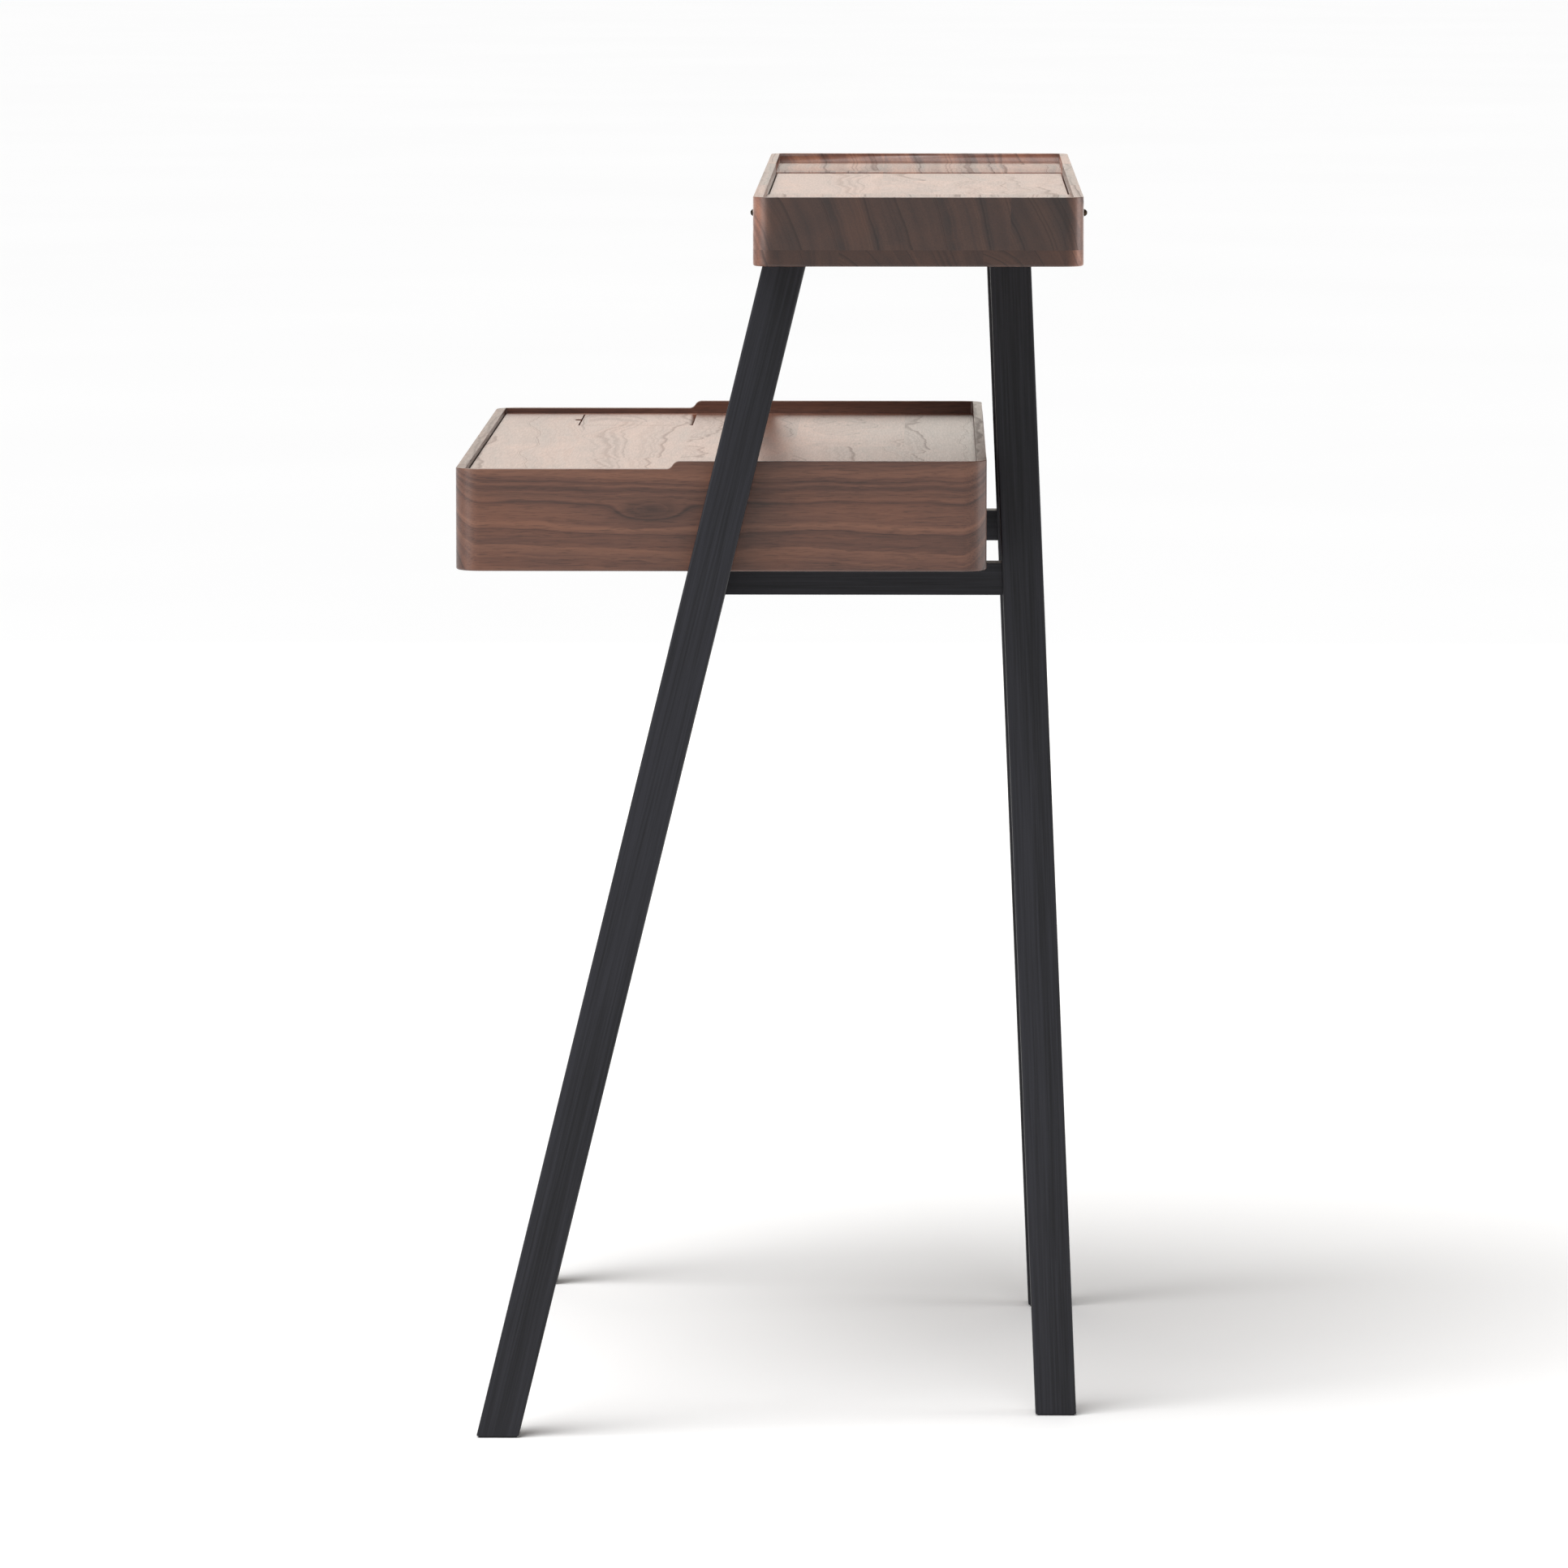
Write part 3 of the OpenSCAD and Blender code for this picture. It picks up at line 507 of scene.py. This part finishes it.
class DESK_OT_legs(bpy.types.Operator):
    """Rounds and stains the legs and the rails, and finishes their glides"""
    bl_idname = "desk.legs"
    bl_label = "Legs and Rails"

    def execute(self, context):
        sizes = context.scene.desk_sizes
        front, back = ("Z", sizes.front_lean), ("Z", -sizes.rear_lean)
        across, along = ("X", 0), ("Y", 0)
        grains = {"front_leg_right": front, "front_leg_left": front,
                  "rear_leg_right": back, "rear_leg_left": back,
                  "front_cross_rail": across, "rear_cross_rail": across,
                  "side_rail_right": along, "side_rail_left": along}
        for seed, (name, (grain, lean)) in enumerate(grains.items()):
            skin = stained_oak("stained_oak_" + name, grain, seed, lean)
            finished(name + "_timber", [name], skin, (long_edges, sizes.leg_round),
                     (edges_below(FOOT_TOP), sizes.foot_round))
        finished("foot_pads", ["foot_glides"], pressed_felt("pressed_felt"),
                 (every_edge, sizes.pad_round))
        return {"FINISHED"}


class DESK_OT_lower_box(bpy.types.Operator):
    """Rounds and finishes the walls and the bottom of the lower box and its drawer front"""
    bl_idname = "desk.lower_box"
    bl_label = "Lower Box"

    def execute(self, context):
        sizes = context.scene.desk_sizes
        outer_base = outer_base_edges(outline("desk_side_right", "desk_side_left"))
        boards = {
            "desk_side_right": walnut("walnut_side_right", "Y", (298, 298), (640, 640), 1,
                                      knot=(-95, 717)),
            "desk_side_left": walnut("walnut_side_left", "Y", (-300, -300), (600, 600), 2),
            "desk_drawer_front": walnut("walnut_lower_front", "X", (-180, -180), (645, 645), 3),
            "desk_back_board": walnut("walnut_lower_back", "X", (85, 85), (630, 630), 4),
        }
        rim = edges_above(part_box("writing_board")[1].z)
        for name, skin in boards.items():
            finished(name + "_timber", [name], skin, (outer_base, sizes.base_round),
                     (rim, sizes.rim_round))
        bottom = walnut("walnut_bottom", "X", (-60, 0), (560, 600), 5, stave=100)
        finished("desk_bottom_board_timber", ["desk_bottom_board"], bottom,
                 (every_edge, sizes.seam_round))
        return {"FINISHED"}


class DESK_OT_writing_top(bpy.types.Operator):
    """Finishes the writing board, the pen well and its lid"""
    bl_idname = "desk.writing_top"
    bl_label = "Writing Top and Pen Well"

    def execute(self, context):
        sizes = context.scene.desk_sizes
        # The writing board and the lid share a walnut painted twice as pale as the walls' (shade
        # 1.2 against 0.6), with less red and less contrast: a painted sheen that stands in for the
        # glare along the top.
        top = walnut("walnut_writing_top_painted_sheen", "X", (-90, 30), (610, 690), 6, stave=88, strip_from=-165,
                     wander=30, curl=0.6, shade=1.2, red=0.1, lines=0.5, contrast=0.25, coat=0.6)
        well = walnut("walnut_pen_well", "X", (-60, -60), (660, 660), 7)
        for name, skin in (("writing_board", top), ("pen_lid", top),
                           ("pen_well_frame", well), ("pen_well_floor", well)):
            finished(name + "_timber", [name], skin, (every_edge, sizes.lid_round))
        return {"FINISHED"}


class DESK_OT_upper_box(bpy.types.Operator):
    """Rounds and finishes the upper box, its panel and the fronts of its drawers"""
    bl_idname = "desk.upper_box"
    bl_label = "Upper Box"

    def execute(self, context):
        sizes = context.scene.desk_sizes
        box = outline("shelf_base_board", "shelf_end_right", "shelf_end_left")
        outer_base = outer_base_edges(box)
        rim = edges_above(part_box("shelf_center_panel")[1].z + MM)
        end_face = round(box[1].x / MM)
        # The ends' walnut is painted paler too (shade 1.1), a painted sheen on their rim tops;
        # their end faces are then darkened as end grain.
        ends = walnut("walnut_shelf_ends_painted_sheen", "X", (-190, -90), (840, 900), 8, stave=100,
                      strip_from=-19, ends=end_face, wander=8, curl=0.6, lines=0.7, shade=1.1,
                      contrast=0.5, coat=0.5)
        base = walnut("walnut_shelf_base", "X", (-120, 60), (830, 890), 9, stave=110,
                      strip_from=-60, ends=end_face, curl=0.6, lines=0.8, shade=1.2, contrast=0.4)
        near = walnut("walnut_near_front", "X", (60, 60), (880, 880), 10, coat=0.5)
        far = walnut("walnut_far_front", "X", (150, 150), (870, 870), 11, coat=0.5)
        for name, skin in (("shelf_base_board", base), ("shelf_end_right", ends),
                           ("shelf_end_left", ends), ("near_drawer_front", near),
                           ("far_drawer_front", far)):
            finished(name + "_timber", [name], skin, (outer_base, sizes.base_round),
                     (rim, sizes.rim_round))
        # The panel's walnut is painted twice as pale as the walls', with less red and less
        # contrast: a painted sheen like the writing board's.
        panel = walnut("walnut_panel_painted_sheen", "X", (-90, 30), (820, 900), 12, stave=100, strip_from=-19,
                       wander=26, shade=1.2, red=0.1, lines=0.5, contrast=0.25, coat=0.6)
        finished("shelf_center_panel_timber", ["shelf_center_panel"], panel,
                 (every_edge, sizes.seam_round))
        return {"FINISHED"}


class DESK_OT_drawer_boxes(bpy.types.Operator):
    """Finishes the pale insides: drawer boxes, runners, guides, stops and dowels"""
    bl_idname = "desk.drawer_boxes"
    bl_label = "Drawer Boxes"

    def execute(self, context):
        woods, sizes = context.scene.desk_woods, context.scene.desk_sizes
        along_y = pale_wood("oiled_maple_front_to_back", "Y", 1, woods.maple)
        along_x = pale_wood("oiled_maple_across", "X", 2, woods.maple)
        beech = pale_wood("turned_beech", "Y", 3, woods.beech)
        for name, slot in SLOT_OF.items():
            if slot in ("drawer_maple", "dowel_beech"):
                runs_back = any(word in name for word in ("side", "runner", "guide", "bottom"))
                skin = beech if slot == "dowel_beech" else along_y if runs_back else along_x
                finished(name + "_timber", [name], skin, (every_edge, sizes.seam_round))
        return {"FINISHED"}


class DESK_OT_hardware(bpy.types.Operator):
    """Finishes the knobs, the lid pins, the bolts and the screws"""
    bl_idname = "desk.hardware"
    bl_label = "Hardware"

    def execute(self, context):
        sizes = context.scene.desk_sizes
        knob = knob_brass("knob_brass")
        brass = drawn_metal("drawn_brass", "#9c7c42", "#c9a968")
        zinc = drawn_metal("zinc_plated_steel", "#a3a6ab", "#c7cacd", 2.5)
        for name, skin in (("near_knob", knob), ("far_knob", knob), ("pen_lid_pins", brass),
                           ("leg_bolts", zinc), ("rail_screws", zinc)):
            finished(name + "_metal", [name], skin, (every_edge, sizes.metal_round))
        return {"FINISHED"}


def placed(name, data, place, target):
    """A lamp or a camera that stands at a place and is turned to a target."""
    thing = bpy.data.objects.new(name, data)
    thing.location = place
    thing.rotation_mode = "QUATERNION"
    thing.rotation_quaternion = (target - place).to_track_quat("-Z", "Y")
    bpy.context.scene.collection.objects.link(thing)
    return thing


def lamp(name, kind, place, power):
    """The light of a lamp that shines on the desk, which the camera doesn't see."""
    light = bpy.data.lights.new(name, kind)
    light.energy = power
    placed(name, light, place, LIT_PLACE).visible_camera = False
    return light


class DESK_OT_stage(bpy.types.Operator):
    """Lays the floor, lights it and sets up the camera"""
    bl_idname = "desk.stage"
    bl_label = "Floor, Light and Camera"

    def execute(self, context):
        stage, scene = context.scene.desk_stage, context.scene
        mesh = bmesh.new()
        bmesh.ops.create_circle(mesh, cap_ends=True, segments=64, radius=FLOOR_RADIUS)
        data = bpy.data.meshes.new("floor")
        mesh.to_mesh(data)
        mesh.free()
        floor = bpy.data.objects.new("floor", data)
        scene.collection.objects.link(floor)
        data.materials.append(studio_floor("painted_floor"))
        world = bpy.data.worlds.new("studio_surround")
        world.use_nodes = True
        # The surround lights the desk dimly and still looks white itself
        seen = add_node(world.node_tree, "LightPath", out="Is Camera Ray")
        strength = add_node(world.node_tree, "MapRange", [seen, 0, 1, stage.sky, 1])
        surround = world.node_tree.nodes["Background"]
        surround.inputs["Color"].default_value = (1, 1, 1, 1)
        world.node_tree.links.new(strength, surround.inputs["Strength"])
        scene.world = world
        lamp("overhead", "SUN", LIT_PLACE + SUN_OFFSET, stage.sun).angle = SUN_WIDTH
        for name, place, share in SIDE_PANELS:
            lamp(name, "AREA", place, stage.sides * share).size = SIDE_PANEL_SIZE
        back = lamp("back_panel", "AREA", BACK_PANEL_PLACE, stage.back)
        back.color = stage.back_tint
        back.shape = "RECTANGLE"
        back.size, back.size_y = BACK_PANEL_SIZE
        view = bpy.data.cameras.new("camera")
        view.lens = stage.lens
        view.clip_end = CAMERA_REACH
        scene.camera = placed("camera", view, CAMERA_PLACE, CAMERA_AIM)
        scene.view_settings.view_transform = "Standard"
        return {"FINISHED"}


OPERATORS = (DESK_OT_legs, DESK_OT_lower_box, DESK_OT_writing_top, DESK_OT_upper_box,
             DESK_OT_drawer_boxes, DESK_OT_hardware, DESK_OT_stage)
GROUPS = {"desk_woods": DeskWoods, "desk_sizes": DeskSizes, "desk_stage": DeskStage}


class DESK_PT_panel(bpy.types.Panel):
    """Lists the desk's settings and the steps that build it"""
    bl_idname = "DESK_PT_panel"
    bl_label = "Writing Desk"
    bl_space_type = "VIEW_3D"
    bl_region_type = "UI"
    bl_category = "Desk"

    def draw(self, context):
        for group in GROUPS:
            box = self.layout.box()
            for name in getattr(context.scene, group).bl_rna.properties.keys():
                if name not in ("rna_type", "name"):
                    box.prop(getattr(context.scene, group), name)
        for operator in OPERATORS:
            self.layout.operator(operator.bl_idname)


CLASSES = (*GROUPS.values(), *OPERATORS, DESK_PT_panel)


def register():
    for cls in CLASSES:
        bpy.utils.register_class(cls)
    for name, group in GROUPS.items():
        setattr(bpy.types.Scene, name, PointerProperty(type=group))


def unregister():
    for name in GROUPS:
        delattr(bpy.types.Scene, name)
    for cls in reversed(CLASSES):
        bpy.utils.unregister_class(cls)


def main():
    """Builds the whole desk, one operator after another."""
    register()
    for operator in OPERATORS:
        group, name = operator.bl_idname.split(".")
        getattr(getattr(bpy.ops, group), name)()


if __name__ == "__main__":
    main()
